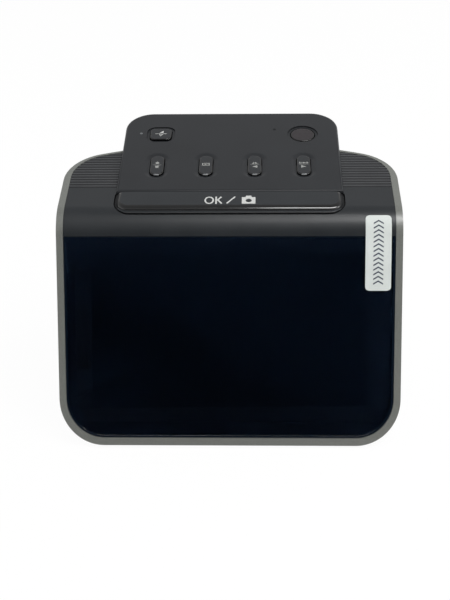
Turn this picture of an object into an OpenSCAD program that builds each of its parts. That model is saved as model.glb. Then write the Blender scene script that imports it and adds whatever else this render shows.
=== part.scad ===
// Desktop film scanner: a leaning screen in a grey shell, a ribbed top with a control head,
// and a film tunnel that runs through the body from side to side.
// Row frame: +X to the right of someone facing the screen, +Y to the rear, +Z up,
// origin at the middle of the footprint, level with the undersides of the feet.

/* [Body] */
// Width across the two grey sides
body_w = 138.6; // [138:0.2:170]
// Length of the front face, from its bottom edge up to the shoulder
face_len = 86.2; // [85:0.2:105]
// Lean of the front face back from upright, degrees
face_tilt = 21; // [19:0.5:24]
// Rise of the top towards the rear, degrees
top_slope = 12; // [10:0.5:14]
// Radius of the smooth shoulder between face and top
shoulder_r = 13.5; // [12.5:0.5:16]
// Length of the top from the shoulder's end to the rear rim, at mid width
top_len = 46.5; // [46:0.5:56]
// Radius of the crowned rear wall, seen along the top's normal
crown_r = 178; // [120:1:200]
// Radius of the two upright rear corners
rear_corner_r = 20; // [16:0.5:24]
// Radius of the two lower corners, seen from the front
lower_corner_r = 18; // [12:0.5:18.5]
// Wall of the grey shell
wall = 2.8; // [2.4:0.1:3.4]
// Gap between fitted covers
fit = 0.1; // [0.05:0.01:0.2]

/* [Top cover] */
// Thickness of the top cover
cover_t = 2.2; // [1.8:0.1:2.8]
// How much nearer the cover's edge is to the body's outline at the rear than at the sides
cover_reach = 1.8; // [1:0.1:2]
// Distance from the shoulder's end to the first groove
rib_start = 13.1; // [10:0.1:20]
// Spacing of the grooves
rib_pitch = 1.84; // [1.5:0.02:2.4]
// Side of the square cutter that makes each V groove
rib_cut = 0.8; // [0.3:0.05:0.9]
// Width of the ledge that carries the cover
ledge_w = 2.4; // [1.5:0.1:4]
// Thickness of that ledge
ledge_t = 2; // [1.5:0.1:3]

/* [Control head] */
// Width of the control head
head_w = 92.9; // [90:0.1:100]
// Distance of the head's rear edge behind the shoulder's end, along the top
head_rear = 68.8; // [66:0.2:80]
// Height of the head's face above the top
head_rise = 1.3; // [1:0.1:2]
// Lean of the head's rear wall, degrees
head_lean = 3.5; // [2.5:0.5:6]
// Radius of the head's rear corners
head_corner_r = 12; // [8:0.5:14]
// Wall of the head
head_wall = 2.2; // [1.8:0.1:2.8]
// Width of the opening under the head
head_open_w = 84; // [82:0.5:88]

/* [Keys] */
// Length of the front bar key, front to rear
bar_d = 12.6; // [11:0.1:15]
// Distance of the bar's front edge ahead of the shoulder's end
bar_front = 4.5; // [4:0.1:6]
// Thickness of the bar
bar_t = 2.05; // [1.8:0.05:2.4]
// Width of a pill key
pill_w = 5.6; // [4.5:0.1:6.5]
// Length of a pill key
pill_l = 14.2; // [12:0.1:16]
// Spacing of the pill keys
pill_pitch = 20.5; // [19:0.1:21]
// Pill keys' distance behind the bar's front edge
pill_v = 31.4; // [30:0.1:34]
// Size of the square key, across and front to rear
square_key = [9.2, 8.7]; // [8:0.1:10]
// Diameter of the round power key
power_d = 10.4; // [9:0.1:11]
// Square and round keys' distance behind the bar's front edge
rear_key_v = 55.6; // [54:0.1:57]
// Travel of every key
key_travel = 0.6; // [0.4:0.05:0.7]
// Gap around a key in its hole
key_gap = 0.3; // [0.3:0.01:0.4]
// Depth of a key switch's body
switch_h = 3.3; // [3:0.1:3.6]

/* [Screen] */
// Thickness of the screen window
window_t = 1.5; // [1.2:0.1:2]
// Depth of the window below the shell's rim
window_sink = 0.2; // [0.15:0.05:0.5]
// Width and height of the screen module
lcd_size = [120.7, 70.6]; // [60:0.1:124]
// Thickness of the screen module
lcd_t = 3; // [2.4:0.1:3.4]
// Width and height of the picture area
picture_size = [110.7, 62.3]; // [50:0.1:112]
// Height of the picture area's lower edge on the face
picture_low = 16.8; // [15:0.1:20]
// Distance of the face's top edge below the shoulder
window_top_gap = 0.7; // [0.5:0.1:2]

/* [Film path] */
// Width of the film tunnel, front to rear
film_w = 60.5; // [50:0.1:62]
// Height of the film tunnel
film_h = 8.5; // [7.5:0.5:10]
// Height of the tunnel's floor above the shell's underside
film_z = 25; // [24:0.5:27]
// Distance of the tunnel's middle from the front edge
film_mid = 53.75; // [53.75:0.25:55]
// Thickness of the tunnel's walls
stage_t = 2; // [1.6:0.1:2.4]
// Film window, along the film and across it
gate = [38, 26]; // [24:0.5:40]
// Diameter of the lens barrel
lens_d = 14; // [12:0.5:16]
// Height of the sensor board above the shell's underside
sensor_z = 74; // [72:0.5:76]

/* [Electronics] */
// Height of the main board above the shell's underside
main_z = 68; // [66:0.5:70]
// Thickness of a circuit board
board_t = 1.6; // [1.2:0.1:2]
// Depth of the key board below the top
key_board_drop = 8; // [7.6:0.1:9]

/* [Feet] */
// Diameter of a rubber foot
foot_d = 10; // [8:0.5:12]
// Height that the feet stand proud
foot_drop = 1.5; // [1:0.1:2.5]

/* [Hidden] */
$fn = 96;

far = 130;
eps = 0.01;
half_w = body_w / 2;

// Shoulder: its axis, and the point where it meets the flat top
shoulder_y = face_len * sin(face_tilt) + shoulder_r * cos(face_tilt);
shoulder_z = face_len * cos(face_tilt) - shoulder_r * sin(face_tilt);
top_y = shoulder_y - shoulder_r * sin(top_slope);
top_z = shoulder_z + shoulder_r * cos(top_slope);
window_top = face_len - window_top_gap;

// Rear edge of the head's face, and the depth of the whole footprint
head_y = top_y + head_rear * cos(top_slope) - head_rise * sin(top_slope);
head_z = top_z + head_rear * sin(top_slope) + head_rise * cos(top_slope);
overall_d = head_y + head_z * tan(head_lean);

// Row of the bar key, and what lies behind it
bar_v = bar_d / 2 - bar_front;
bar_bottom = head_rise - bar_t;
bar_gap = 0.4;
bar_rear_r = 1;
pocket_floor = bar_bottom - key_travel - 0.25;
pocket_floor_t = 1.4;
head_front = bar_d - bar_front + 0.3;
open_front = head_front + 1.2;
open_fit = 0.3;
plate_under = head_rise - head_wall;

// Keys: places on the top, measured from the shoulder's end
pill_at = [for (i = [0:3]) [(i - 1.5) * pill_pitch, pill_v - bar_front]];
square_at = [-1.5 * pill_pitch + 0.1, rear_key_v - bar_front];
power_at = [1.5 * pill_pitch + 0.25, rear_key_v - bar_front];
bar_stem_x = 30;
bar_stems = [[-bar_stem_x, bar_v], [bar_stem_x, bar_v]];
power_light_at = [-39.3, square_at[1] + 0.9];
status_light_at = [18.8, square_at[1] + 3.7];
flange_t = 1;
flange_w = 1.2;
stem_d = 3.6;
square_key_r = 2.2;
dish_r = 20;
dish_depth = 0.8;
dish_l = 8.2;
pill_proud = 0.25;
square_proud = 0.35;
power_sunk = 0.3;

// Key switches under the keys
board_top = -key_board_drop;
switch_top = board_top + switch_h;
switch_w = 6;
stem_end = switch_top + key_travel + 0.2;
plunger_d = 3;
plunger_in = 0.9;
plunger_bore = plunger_d + 0.7;
key_board_box = [[-40.6, -2], [40.6, 60.8]];
key_post_at = [[-38.2, 14], [38.2, 14], [-9, 58], [9, 58]];
key_post_d = 5;
light_d = 1.3;
led_h = 0.75;

// Screen stack, as depths behind the face
adhesive_t = 0.3;
adhesive_d = window_sink + window_t;
lcd_d = adhesive_d + adhesive_t;
frame_back = lcd_d + lcd_t + 1.7;
lcd_low = picture_low + picture_size[1] + 3 - lcd_size[1];
tab_w = 11;
tab_length = 30.4;
tab_gap = 0.03;
tab_right = half_w - wall - 1.8;
tab_low = window_top - 21.8;
tab_t = 0.17;
film_t = 0.12;

// Screen frame's tabs and screws
frame_tab = [8.4, 8, 3];
frame_tab_w = [lower_corner_r + wall - 3.8, 66];
frame_screw_in = 3.5;

// Film stage
film_y = film_mid - film_w / 2;
tunnel_top = film_z + film_h;
stage_floor_t = 2.5;
stage_low = film_z - stage_floor_t;
slot_margin = 0.5;
leg_at = [for (x = [-47, 47], y = [29, 77]) [x, y]];
leg_d = 8;
post_y = [70, 81];
post_at = [for (x = [-36, 36], y = post_y) [x, y]];
post_d = 6;
stage_rear = max(film_y + film_w, post_y[1] + post_d / 2) + stage_t;
stage_boss_at = [for (x = [-36, 36]) [x, stage_rear + 5.8 - wall]];
stage_boss_d = 6;

// Lens tower and what it carries
tower_base = [56, 44];
tower_box = [44, 34];
tower_wall = 2;
tower_top = sensor_z - 14;
tube_d = lens_d + 6;
ear_x = 12.5;
ear_d = 6;
sensor_board_size = [32, 30];

// Light box
box_size = [60, 44];
box_wall = 1.5;
diffuser_t = 2;
box_top = stage_low - diffuser_t;
led_count = [4, 3];

// Main board and its sockets
main_top = main_z + board_t;
main_half = 40;
main_front = 66;
main_corner_r = 6;
main_rear = head_inner_y(main_top) - 0.6;
socket_mouth = main_rear + 2.1;
notch_w = head_open_w + 2;
notch_z = 55;
usb_x = -30;
usb_size = [8.94, 7.3, 3.16];
hdmi_x = -11;
hdmi_size = [11.2, 7.5, 3.2];
card_x = 20;
card_size = [27, 29, 3];
socket_gap = 0.4;
flex_t = 0.3;
flex_off = 0.25;
flex_z = main_top + 1.4 + flex_off;

// Fasteners: shaft diameter, head diameter, head height
small_screw = [1.8, 3.8, 1.3];
main_screw = [2.2, 4.5, 1.5];
base_screw = [2.5, 5, 1.3];
screw_gap = 0.05;
screw_pad = [7, 1];
head_screw_at = [for (x = [-30, 30], z = [20, 42]) [x, z]];
head_screw_length = 8;

// Feet
foot_at = [[-43, 16], [43, 16], [-43, 95], [43, 95]];
foot_sink = 0.8;

shell_grey = "#6a6c68";
charcoal = "#383a3c";
key_black = "#2c2d2f";
board_green = "#1e5a35";
steel = "#b8bbbe";
flex_brown = "#a8641e";

// Inside face of the head's rear wall at height z
function head_inner_y(z) = head_y + (head_z - z) * tan(head_lean) - head_wall / cos(head_lean);

// The shell's rear wall at distance x from the middle and height z
function crown_v(x, inset) = top_len - crown_r + sqrt(pow(crown_r - inset, 2) - x * x);
function back_y(x, z, inset) = let (v = crown_v(x, inset))
    top_y + v * cos(top_slope) + (top_z + v * sin(top_slope) - z) * tan(top_slope);

// Blind end of a hole for a head screw: just short of the rear wall, or past the screw's tip
function head_hole_end(at) = max(head_inner_y(at[1]) - 0.5,
    back_y(at[0], at[1], wall) - screw_pad[1] + head_screw_length + 0.3);

// A point behind the face, as [y, z], from its height on the face and its depth
function behind_face(h, depth) =
    [h * sin(face_tilt) + depth * cos(face_tilt), h * cos(face_tilt) - depth * sin(face_tilt)];

// A point above the flat top, as [y, z]
function above_top(v, h) =
    [top_y + v * cos(top_slope) - h * sin(top_slope), top_z + v * sin(top_slope) + h * cos(top_slope)];

// From the working frame (front edge, shell's underside) to the row frame
module in_row() translate([0, -overall_d / 2, foot_drop]) children();

// Frame on the face: x right, y up the face, z out of it
module on_face() rotate([90 - face_tilt, 0, 0]) children();

// Frame on the top: x right, y towards the rear, z out of the top
module on_top() translate([0, top_y, top_z]) rotate([top_slope, 0, 0]) children();

// Extrudes a side view, drawn as [y, z], evenly to both sides of the middle
module across(width) rotate([90, 0, 90]) linear_extrude(height = width, center = true) children();

// A vertical or tilted slab between two heights
module between(low, high) translate([0, 0, low]) linear_extrude(height = high - low) children();

module rounded_rect(size, r) {
    square([size[0] - 2 * r, size[1]], center = true);
    square([size[0], size[1] - 2 * r], center = true);
    for (x = [-1, 1], y = [-1, 1])
        translate([x * (size[0] / 2 - r), y * (size[1] / 2 - r)]) circle(r);
}

// A bar with round ends, long across
module stadium(length, width) {
    square([length - width, width], center = true);
    for (x = [-1, 1]) translate([x * (length - width) / 2, 0]) circle(d = width);
}

// A screw along +Z with its head below the origin
module screw(size, length) {
    translate([0, 0, -size[2]]) cylinder(d = size[1], h = size[2]);
    cylinder(d = size[0], h = length);
}

// A flat ribbon through side view points, centred at x
module ribbon(points, x, width) {
    t = flex_t;
    translate([x, 0, 0]) across(width) for (i = [0:len(points) - 2]) {
        run = points[i + 1] - points[i];
        translate(points[i]) rotate(atan2(run[1], run[0])) translate([-t / 2, -t / 2])
            square([norm(run) + t, t]);
    }
}

// Side view of the whole body, closed far behind the rear wall
module side_outline(inset) {
    foot = inset * tan(face_tilt);
    polygon([[far, 0], above_top(top_len + 10, -inset), above_top(0, -inset),
            [shoulder_y, shoulder_z], behind_face(face_len, inset), behind_face(foot, inset)]);
    translate([shoulder_y, shoulder_z]) circle(shoulder_r - inset);
}
module side_form(inset = 0) across(2 * far) side_outline(inset);

// Front view: straight sides and two round lower corners
module front_form(inset = 0) {
    r = lower_corner_r - inset;
    w = half_w - inset;
    rotate([90, 0, 0]) linear_extrude(height = 2 * far, center = true) {
        translate([-w, inset + r]) square([2 * w, far]);
        translate([r - w, inset]) square([2 * (w - r), far]);
        for (x = [r - w, w - r]) translate([x, inset + r]) circle(r);
    }
}

// View along the top's normal: straight sides, round corners and a crowned rear
module plan_outline(inset) {
    big = crown_r - inset;
    r = rear_corner_r - inset;
    crown_mid = top_len - crown_r;
    corner_x = half_w - rear_corner_r;
    corner_v = crown_mid + sqrt(pow(crown_r - rear_corner_r, 2) - corner_x * corner_x);
    reach = big / (crown_r - rear_corner_r);
    touch = [corner_x * reach, crown_mid + (corner_v - crown_mid) * reach];
    w = half_w - inset;
    intersection() {
        polygon([[w, -far], [w, corner_v], touch, [0, far],
                [-touch[0], touch[1]], [-w, corner_v], [-w, -far]]);
        translate([0, crown_mid]) circle(big, $fn = 360);
    }
    for (x = [-1, 1]) translate([x * corner_x, corner_v]) circle(r);
}
module plan_form(inset = 0) on_top() between(-far, far) plan_outline(inset);

// The cover's outline, set back from the body's so that the rim narrows towards the rear
module cover_outline(inset) translate([0, cover_reach]) plan_outline(inset);

// The outside of the body, and the room inside its shell
module body_form(inset = 0) {
    intersection() {
        side_form(inset);
        front_form(inset);
        plan_form(inset);
    }
}
module shell_room(inset) {
    intersection() {
        front_form(inset);
        plan_form(inset);
    }
}

// A block that runs through the film tunnel from side to side
module film_passage(margin, length) {
    translate([-length / 2, film_y - margin, film_z - margin])
        cube([length, film_w + 2 * margin, film_h + 2 * margin]);
}

module shell_ledge() {
    intersection() {
        across(2 * far) difference() {
            side_outline(cover_t);
            side_outline(cover_t + ledge_t);
            translate(above_top(1, 0)) rotate(top_slope) translate([-far, -far]) square([far, 2 * far]);
        }
        difference() {
            shell_room(wall / 2);
            shell_room(wall + ledge_w);
        }
    }
}

module frame_tab_places() {
    for (x = [-1, 1], h = frame_tab_w)
        on_face() translate([x * (half_w - wall - frame_screw_in), h, -frame_back]) children();
}

module outer_shell() {
    in_row() color(shell_grey) difference() {
        union() {
            difference() {
                body_form();
                shell_room(wall);
            }
            shell_ledge();
            intersection() {
                front_form(wall / 2);
                for (x = [-1, 1], h = frame_tab_w)
                    on_face()
                        translate([x * (half_w - frame_tab[0] / 2), h, -frame_back - frame_tab[2] / 2])
                            cube(frame_tab, center = true);
            }
            for (at = head_screw_at) intersection() {
                translate([at[0], back_y(at[0], at[1], wall) - screw_pad[1], at[1]]) rotate([-90, 0, 0])
                    cylinder(d = screw_pad[0], h = screw_pad[1] + 2);
                body_form();
            }
        }
        on_top() between(-cover_t, 5) intersection() {
            cover_outline(wall);
            translate([-far, rib_start]) square([2 * far, far]);
        }
        film_passage(slot_margin, 2 * body_w);
        translate([-notch_w / 2, film_mid, notch_z]) cube([notch_w, far, far]);
        frame_tab_places() cylinder(d = 2.4, h = 2 * frame_tab[2] + 1, center = true);
        for (at = head_screw_at)
            translate([at[0], film_mid, at[1]]) rotate([-90, 0, 0]) cylinder(d = 2.5, h = far);
        for (at = leg_at) translate([at[0], at[1], -eps]) {
            cylinder(d = base_screw[1] + 0.6, h = base_screw[2] + 0.1 + eps);
            cylinder(d = base_screw[0] + 0.4, h = wall + 1);
        }
        for (at = foot_at) translate([at[0], at[1], -eps]) cylinder(d = foot_d + 0.3, h = foot_sink + eps);
    }
}

module screen_frame() {
    in_row() color(key_black) difference() {
        intersection() {
            front_form(wall + fit);
            on_face() translate([-half_w, -10, -frame_back])
                cube([body_w, window_top + 10, frame_back - lcd_d]);
        }
        on_face() {
            translate([-lcd_size[0] / 2 - 0.2, lcd_low - 0.2, -lcd_d - lcd_t - 0.1])
                cube([lcd_size[0] + 0.4, lcd_size[1] + 0.4, lcd_t + 1]);
            translate([-lcd_size[0] / 2 + 8, lcd_low + 8, -frame_back - 1])
                cube([lcd_size[0] - 16, lcd_size[1] - 16, frame_back]);
        }
        frame_tab_places() translate([0, 0, -eps]) cylinder(d = small_screw[0] + 2 * screw_gap, h = 3.5);
    }
}

module lcd_panel() {
    in_row() color("#101318") on_face() translate([-lcd_size[0] / 2, lcd_low, -lcd_d - lcd_t])
        cube([lcd_size[0], lcd_size[1], lcd_t]);
}

module window_adhesive() {
    in_row() color("#202124") on_face() difference() {
        translate([-lcd_size[0] / 2 - 2, lcd_low - 2, -lcd_d])
            cube([lcd_size[0] + 4, lcd_size[1] + 3, adhesive_t]);
        translate([-picture_size[0] / 2 - 0.5, picture_low - 0.5, -lcd_d - 1])
            cube([picture_size[0] + 1, picture_size[1] + 1, 3]);
    }
}

module screen_window() {
    in_row() color("#07090e") intersection() {
        front_form(wall + fit);
        on_face() translate([-half_w, -10, -adhesive_d]) cube([body_w, window_top + 10, window_t]);
    }
}

module protective_film() {
    in_row() color([0.8, 0.85, 0.9, 0.3]) intersection() {
        front_form(wall + 1);
        on_face() translate([-half_w, 0, -window_sink]) cube([body_w, window_top - 0.6, film_t]);
    }
}

// The tab runs from the film over the window's edge and bends round the start of the shoulder
module peel_tab() {
    film_side = window_sink - film_t;
    bend = (tab_low + tab_length - face_len) / shoulder_r * 180 / PI;
    in_row() color("white") translate([tab_right - tab_w / 2, 0, 0]) across(tab_w) {
        polygon([behind_face(tab_low, film_side), behind_face(window_top - 0.3, film_side),
                behind_face(window_top, -tab_gap), behind_face(face_len, -tab_gap),
                behind_face(face_len, -tab_t), behind_face(tab_low, -tab_t)]);
        intersection() {
            translate([shoulder_y, shoulder_z]) difference() {
                circle(shoulder_r + tab_t);
                circle(shoulder_r + tab_gap);
            }
            polygon([[shoulder_y, shoulder_z], behind_face(face_len - 0.2, -far),
                    [shoulder_y, shoulder_z] + far * [-cos(face_tilt + bend), sin(face_tilt + bend)]]);
        }
    }
}

module frame_screws() {
    in_row() color(steel) frame_tab_places() translate([0, 0, -frame_tab[2]])
        screw(small_screw, frame_tab[2] + 3.2);
}

// The bar from above: round ends ahead, nearly square corners behind
module bar_outline(margin) translate([0, bar_v]) {
    stadium(head_w + 2 * margin, bar_d + 2 * margin);
    translate([0, (bar_d / 2 + margin) / 2])
        rounded_rect([head_w + 2 * margin, bar_d / 2 + margin], bar_rear_r + margin);
}

// Side view of the cover: a band that bends over the shoulder, with a row of grooves behind it
module cover_profile() {
    groove_count = floor((top_len - rib_start) / rib_pitch);
    difference() {
        side_outline(0);
        side_outline(cover_t);
        rotate(90 - face_tilt) translate([-far, -far]) square([far + window_top + fit, 2 * far]);
        for (i = [0:groove_count]) translate(above_top(rib_start + i * rib_pitch, 0))
            rotate(45 + top_slope) square(rib_cut, center = true);
    }
}

module top_cover() {
    in_row() color(charcoal) difference() {
        union() {
            intersection() {
                across(2 * far) cover_profile();
                on_top() between(-far, far) cover_outline(wall + fit);
            }
            intersection() {
                on_top() between(pocket_floor - pocket_floor_t, -0.5) bar_outline(bar_gap + 1.5);
                side_form(0.3);
                on_top() translate([-far, -far, -far]) cube([2 * far, far + open_front, 2 * far]);
            }
        }
        on_top() {
            between(pocket_floor, 10) bar_outline(bar_gap);
            translate([-head_open_w / 2, open_front, -20]) cube([head_open_w, far, 40]);
            for (at = bar_stems) translate([at[0], at[1], 0]) cube([4.8, 4.8, 20], center = true);
        }
    }
}

// Upright prism of the head, open ahead, with round rear corners
module head_outline(inset) {
    r = head_corner_r - inset;
    w = head_w / 2 - inset;
    translate([-w, -far]) square([2 * w, far - inset - r]);
    translate([r - w, -far]) square([2 * (w - r), far - inset]);
    for (x = [r - w, w - r]) translate([x, -inset - r]) circle(r);
}
module head_prism(inset, low, high) {
    intersection() {
        translate([0, head_y, head_z]) rotate([head_lean, 0, 0]) between(-far, far) head_outline(inset);
        on_top() translate([-far, -far, -2 * far]) cube([2 * far, 2 * far, 2 * far + high]);
        translate([-far, -far, low]) cube(2 * far);
    }
}

module pill_outline(margin) rotate(90) stadium(pill_l + 2 * margin, pill_w + 2 * margin);
module square_outline(margin) rounded_rect(square_key + 2 * [margin, margin], square_key_r + margin);
module power_outline(margin) circle(d = power_d + 2 * margin);

// Shallow trough with round ends around a pill key
module pill_dish() {
    translate([0, 0, head_rise - dish_depth + dish_r]) {
        rotate([90, 0, 0]) cylinder(r = dish_r, h = dish_l, center = true, $fn = 180);
        for (v = [-1, 1]) translate([0, v * dish_l / 2, 0]) sphere(dish_r, $fn = 180);
    }
}

module head_openings() {
    for (at = pill_at) translate([at[0], at[1], 0]) {
        pill_dish();
        between(-5, 5) pill_outline(key_gap);
    }
    translate([square_at[0], square_at[1], 0]) {
        between(head_rise - 0.5, 5) square_outline(1.5);
        between(-5, 5) square_outline(key_gap);
    }
    translate([power_at[0], power_at[1], 0]) {
        between(head_rise - 0.5, 5) power_outline(1.4);
        between(-5, 5) power_outline(key_gap);
    }
    for (at = [power_light_at, status_light_at])
        translate([at[0], at[1], -5]) cylinder(d = light_d + 2 * screw_gap, h = 10);
}

// Hole in the rear wall for a socket of the given width and height
module socket_opening(x, size) {
    translate([x, socket_mouth, main_top + size[2] / 2])
        cube([size[0] + 2 * socket_gap, 12, size[2] + 2 * socket_gap], center = true);
}

module control_head() {
    in_row() color(charcoal) difference() {
        union() {
            difference() {
                head_prism(0, 0, head_rise);
                head_prism(head_wall, head_wall, plate_under);
                difference() {
                    body_form(-fit);
                    on_top() translate([-head_open_w / 2 + open_fit, open_front + open_fit, -20])
                        cube([head_open_w - 2 * open_fit, far, 40]);
                }
                on_top() translate([-far, head_front - far, -far]) cube([2 * far, far, 2 * far]);
            }
            on_top() for (at = key_post_at) translate([at[0], at[1], board_top])
                cylinder(d = key_post_d, h = plate_under - board_top + 0.5);
            for (at = head_screw_at) difference() {
                translate([at[0], back_y(at[0], at[1], 0) - 2, at[1]]) rotate([-90, 0, 0])
                    cylinder(d = 6, h = head_inner_y(at[1]) - back_y(at[0], at[1], 0) + 3);
                body_form(-fit);
            }
        }
        on_top() {
            head_openings();
            for (at = key_post_at) translate([at[0], at[1], board_top - eps])
                cylinder(d = small_screw[0] + 2 * screw_gap, h = 5);
        }
        socket_opening(usb_x, usb_size);
        socket_opening(hdmi_x, hdmi_size);
        socket_opening(card_x, card_size);
        for (at = head_screw_at) translate([at[0], film_mid, at[1]]) rotate([-90, 0, 0])
            cylinder(d = main_screw[0] + 2 * screw_gap, h = head_hole_end(at) - film_mid);
    }
}

module head_screws() {
    in_row() color(steel) for (at = head_screw_at)
        translate([at[0], back_y(at[0], at[1], wall) - screw_pad[1], at[1]]) rotate([-90, 0, 0])
            screw(main_screw, head_screw_length);
}

// A key: cap above the plate, flange under it and a stem down to its switch plunger
module key_at(at, top) {
    in_row() on_top() translate([at[0], at[1], 0]) {
        between(plate_under, top) children(0);
        between(plate_under - flange_t, plate_under) children(1);
        between(stem_end, plate_under - flange_t) circle(d = stem_d);
    }
}

module pill_button(i) color(key_black) key_at(pill_at[i], head_rise + pill_proud) {
    pill_outline(0);
    pill_outline(flange_w);
}
module square_button() color(key_black) key_at(square_at, head_rise + square_proud) {
    square_outline(0);
    square_outline(flange_w);
}
module power_button() color("#4a4648") key_at(power_at, head_rise - power_sunk) {
    power_outline(0);
    power_outline(flange_w);
}

module ok_bar() {
    in_row() color(key_black) on_top() {
        between(bar_bottom, head_rise) bar_outline(0);
        for (at = bar_stems) translate([at[0], at[1], 0]) {
            between(stem_end, bar_bottom) square(4, center = true);
            between(stem_end, pocket_floor - pocket_floor_t) square([6.4, 4], center = true);
        }
    }
}

// Plungers of the key switches, which move with their keys
module plunger(at) {
    in_row() color("#8c6a3a") on_top() translate([at[0], at[1], switch_top - plunger_in])
        cylinder(d = plunger_d, h = stem_end - switch_top + plunger_in);
}
module ok_plungers() for (at = bar_stems) plunger(at);

module key_board() {
    in_row() color(board_green) on_top() between(board_top - board_t, board_top) difference() {
        translate(key_board_box[0]) square(key_board_box[1] - key_board_box[0]);
        for (at = key_post_at) translate(at) circle(d = 2.4);
    }
}

module key_switches() {
    in_row() color("#1b1c1e") on_top() for (at = concat(pill_at, bar_stems, [square_at, power_at]))
        translate([at[0], at[1], 0]) difference() {
            between(board_top, switch_top) square(switch_w, center = true);
            between(switch_top - plunger_in - key_travel - 0.2, switch_top + 1) circle(d = plunger_bore);
        }
}

module key_board_screws() {
    in_row() color(steel) on_top() for (at = key_post_at)
        translate([at[0], at[1], board_top - board_t]) screw(small_screw, board_t + 4.5);
}

module light_pipe(at) {
    in_row() on_top() translate([at[0], at[1], 0]) {
        between(board_top + led_h + 0.05, head_rise) circle(d = light_d);
        between(plate_under - 0.7, plate_under) circle(d = 2 * light_d);
    }
}
module power_light_pipe() color("#dfe4e6") light_pipe(power_light_at);
module status_light_pipe() color("#1c2024") light_pipe(status_light_at);

module indicator_leds() {
    in_row() color("#e8e4d0") on_top() for (at = [power_light_at, status_light_at])
        translate([at[0], at[1], 0]) between(board_top, board_top + led_h)
            square([1.6, 0.8], center = true);
}

module main_board() {
    in_row() color(board_green) between(main_z, main_top) difference() {
        translate([0, (main_front + main_rear) / 2])
            rounded_rect([2 * main_half, main_rear - main_front], main_corner_r);
        for (at = post_at) translate(at) circle(d = 2.7);
    }
}

module main_board_screws() {
    in_row() color(steel) for (at = post_at) translate([at[0], at[1], main_top]) mirror([0, 0, 1])
        screw(main_screw, board_t + 7);
}

module chip(x, y, size) translate([x - size[0] / 2, y - size[1] / 2, main_top]) cube(size);

module board_chips() {
    in_row() color("#17181a") {
        chip(-13, 85, [14, 14, 1.4]);
        chip(-28, 90, [9, 12, 1]);
        chip(-1, 98, [6, 5, 1]);
        chip(-19, 97, [5, 4, 0.9]);
    }
}

module board_sockets() {
    in_row() color("#d8d2c0") {
        chip(24, main_front + 2.4, [14, 3.6, 1.4]);
        chip(0, main_front + 9, [12, 3.6, 1.4]);
        chip(-26, main_front + 11, [10, 3.6, 1.4]);
    }
}

// A metal socket, open at its rear, whose mouth lies at y = 0
module socket_box(size, inner, depth) {
    difference() {
        translate([-size[0] / 2, -size[1], 0]) cube(size);
        translate([-inner[0] / 2, -depth, (size[2] - inner[1]) / 2]) cube([inner[0], depth + 1, inner[1]]);
    }
}

module card_socket() {
    in_row() color(steel) translate([card_x, socket_mouth, main_top])
        socket_box(card_size, [24.4, 2.3], card_size[1] - 2);
}

module hdmi_socket() {
    in_row() color(steel) translate([hdmi_x, socket_mouth, main_top]) {
        socket_box(hdmi_size, [10.4, 2.4], hdmi_size[1] - 1);
        translate([-3.6, 1 - hdmi_size[1], 1.2]) cube([7.2, 5, 0.8]);
    }
}

module usb_inlet() {
    in_row() color(steel) translate([usb_x, socket_mouth, main_top + usb_size[2] / 2]) rotate([90, 0, 0]) {
        difference() {
            between(0, usb_size[1]) stadium(usb_size[0], usb_size[2]);
            between(-1, usb_size[1] - 0.9) stadium(usb_size[0] - 0.6, usb_size[2] - 0.6);
        }
        between(1.2, usb_size[1] - 0.9) square([6.7, 0.7], center = true);
    }
}

// A slab from side to side over the film path's width, with two ears for screws behind it
module stage_slab(low, high) {
    intersection() {
        translate([-half_w, film_y - stage_t, low]) cube([body_w, stage_rear - film_y + stage_t, high - low]);
        shell_room(wall + 0.2);
    }
    for (at = stage_boss_at) translate([at[0], 0, 0]) between(low, high) {
        translate([0, at[1]]) circle(d = stage_boss_d);
        translate([-stage_boss_d / 2, stage_rear - 1]) square([stage_boss_d, at[1] - stage_rear + 1]);
    }
}

module film_stage_lower() {
    in_row() color(key_black) difference() {
        union() {
            stage_slab(stage_low, tunnel_top);
            for (at = leg_at) translate([at[0], at[1], wall]) cylinder(d = leg_d, h = stage_low - wall + eps);
        }
        film_passage(0, 2 * body_w);
        translate([0, film_mid, stage_low - 1]) between(0, stage_floor_t + 2) square(gate, center = true);
        for (at = leg_at) translate([at[0], at[1], 0]) cylinder(d = base_screw[0] + 2 * screw_gap, h = 15);
        for (at = stage_boss_at) translate([at[0], at[1], tunnel_top - 7])
            cylinder(d = main_screw[0] + 2 * screw_gap, h = 10);
    }
}

module film_stage_upper() {
    in_row() color(key_black) difference() {
        union() {
            stage_slab(tunnel_top, tunnel_top + stage_t);
            for (at = post_at) translate([at[0], at[1], tunnel_top])
                cylinder(d = post_d, h = main_z - tunnel_top);
        }
        translate([0, film_mid, tunnel_top - 1]) between(0, 5) square(gate, center = true);
        for (at = post_at) translate([at[0], at[1], main_z - 8])
            cylinder(d = main_screw[0] + 2 * screw_gap, h = 9);
        for (at = stage_boss_at) translate([at[0], at[1], tunnel_top - 1])
            cylinder(d = main_screw[0] + 0.5, h = stage_t + 2);
    }
}

module stage_screws() {
    in_row() color(steel) for (at = stage_boss_at)
        translate([at[0], at[1], tunnel_top + stage_t]) mirror([0, 0, 1]) screw(main_screw, stage_t + 6.5);
}

module lens_tower() {
    base_z = tunnel_top + stage_t;
    in_row() color("#1a1b1d") translate([0, film_mid, 0]) difference() {
        union() {
            between(base_z, base_z + 2) square(tower_base, center = true);
            between(base_z, tower_top + 2.5) square(tower_box, center = true);
            between(tower_top, sensor_z) {
                circle(d = tube_d);
                for (x = [-ear_x, ear_x]) translate([x, 0]) circle(d = ear_d);
            }
        }
        between(base_z - 1, tower_top) square(tower_box - 2 * [tower_wall, tower_wall], center = true);
        between(base_z - 1, sensor_z + 1) circle(d = lens_d + 2 * screw_gap);
        for (x = [-ear_x, ear_x]) translate([x, 0, sensor_z - 6])
            cylinder(d = small_screw[0] + 2 * screw_gap, h = 7);
    }
}

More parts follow.
